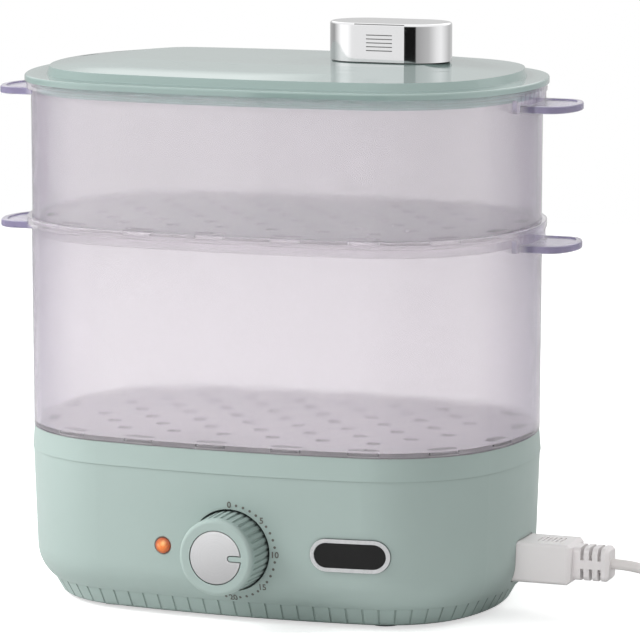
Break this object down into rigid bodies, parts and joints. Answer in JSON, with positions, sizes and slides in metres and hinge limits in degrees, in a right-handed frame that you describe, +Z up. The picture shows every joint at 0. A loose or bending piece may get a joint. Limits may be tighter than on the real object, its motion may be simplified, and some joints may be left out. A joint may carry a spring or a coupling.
{
  "type": "electric food steamer",
  "caption": "Oval electric food steamer: plastic base with dial timer, water tank and heater, stacked frosted tiers, lid with metal handle and a plug-in mains lead.",
  "frame": {"origin": "on the table, under the middle of the appliance without its lead (the dial counts, the lead doesn't)", "axes": "+X to the right end where the lead plugs in, the dial faces -Y, +Z up"},
  "size_m": [0.3921, 0.2219, 0.2449],
  "materials": {
    "mint_shell": "satin moulded plastic",
    "mint_lid": "glossy moulded plastic",
    "frosted_tier": "frosted translucent plastic",
    "pale_plastic": "plain moulded plastic",
    "lead_plastic": "soft moulded plastic",
    "lead_sheath": "satin sheath",
    "dark_rubber": "matte",
    "seal_rubber": "matte silicone",
    "chrome": "mirror-like",
    "satin_metal": "satin",
    "steel": "plain",
    "pressed_aluminium": "plain",
    "brass": "plain",
    "black_inlay": "glossy",
    "amber_lens": "clear",
    "lamp_glass": "clear",
    "dark_plastic": "plain",
    "white_wire": "sleeved wire",
    "blue_wire": "sleeved wire",
    "brown_wire": "sleeved wire"
  },
  "bodies": {
    "base": {"base_shell": "mint_shell", "bottom_cover": "mint_shell", "rubber_feet": "dark_rubber", "cover_screws": "steel", "water_tank": "mint_shell", "heating_plate": "steel", "plate_seal": "seal_rubber", "plate_clamp": "steel", "clamp_screws": "steel", "heating_element": "pressed_aluminium", "thermostat": "dark_plastic", "thermostat_strap": "steel", "strap_screws": "steel", "thermal_fuse": "white_wire", "timer_case": "steel", "timer_plate": "steel", "timer_bell": "steel", "timer_screws": "steel", "timer_terminals": "brass", "lamp_lens": "amber_lens", "neon_lamp": "lamp_glass", "lamp_holder": "dark_plastic", "badge_frame": "chrome", "badge_plate": "black_inlay", "inlet_socket": "pale_plastic", "inlet_pins": "brass", "inlet_screws": "steel", "wire_live": "brown_wire", "wire_switched": "brown_wire", "wire_element": "white_wire", "wire_neutral": "blue_wire", "wire_return": "white_wire", "wire_lamp": "white_wire"},
    "timer_dial": {"timer_knob": "mint_shell", "knob_disc": "satin_metal", "timer_shaft": "steel", "main_gear": "brass", "spring_barrel": "brass", "mainspring": "steel"},
    "timer_escapement": {"escape_wheel": "brass"},
    "drip_tray": {"drip_tray": "frosted_tier"},
    "lower_tier": {"lower_tier": "frosted_tier"},
    "upper_tier": {"upper_tier": "frosted_tier"},
    "lid": {"lid": "mint_lid", "lid_handle": "chrome", "handle_gasket": "dark_plastic", "handle_screws": "steel"},
    "cord_set": {"connector_body": "lead_plastic", "connector_contacts": "brass", "cord_lead": "lead_sheath", "cord_coil": "lead_sheath", "cord_tail": "lead_sheath", "mains_plug": "lead_plastic", "plug_blades": "brass"}
  },
  "joints": [
    {"name": "timer_turn", "type": "hinge", "parent": "base", "child": "timer_dial", "pos_m": [0.0022, -0.0602, 0.0319], "axis": [0, 1, 0], "range_deg": [-90, 180]},
    {"name": "escapement_spin", "type": "hinge", "parent": "base", "child": "timer_escapement", "pos_m": [-0.0122, -0.0507, 0.0319], "axis": [0, 1, 0], "range_deg": [-540, 270]},
    {"name": "tray_lift", "type": "slide", "parent": "base", "child": "drip_tray", "axis": [0, 0, 1], "range_m": [0, 0.03]},
    {"name": "lower_tier_lift", "type": "slide", "parent": "drip_tray", "child": "lower_tier", "axis": [0, 0, 1], "range_m": [0, 0.08]},
    {"name": "upper_tier_lift", "type": "slide", "parent": "lower_tier", "child": "upper_tier", "axis": [0, 0, 1], "range_m": [0, 0.08]},
    {"name": "lid_lift", "type": "slide", "parent": "upper_tier", "child": "lid", "axis": [0, 0, 1], "range_m": [0, 0.08]},
    {"name": "connector_pull", "type": "slide", "parent": "base", "child": "cord_set", "axis": [1, 0, 0], "range_m": [0, 0.02]}
  ],
  "couplings": [
    {"joint": "escapement_spin", "follows": "timer_turn", "ratio": -3}
  ]
}
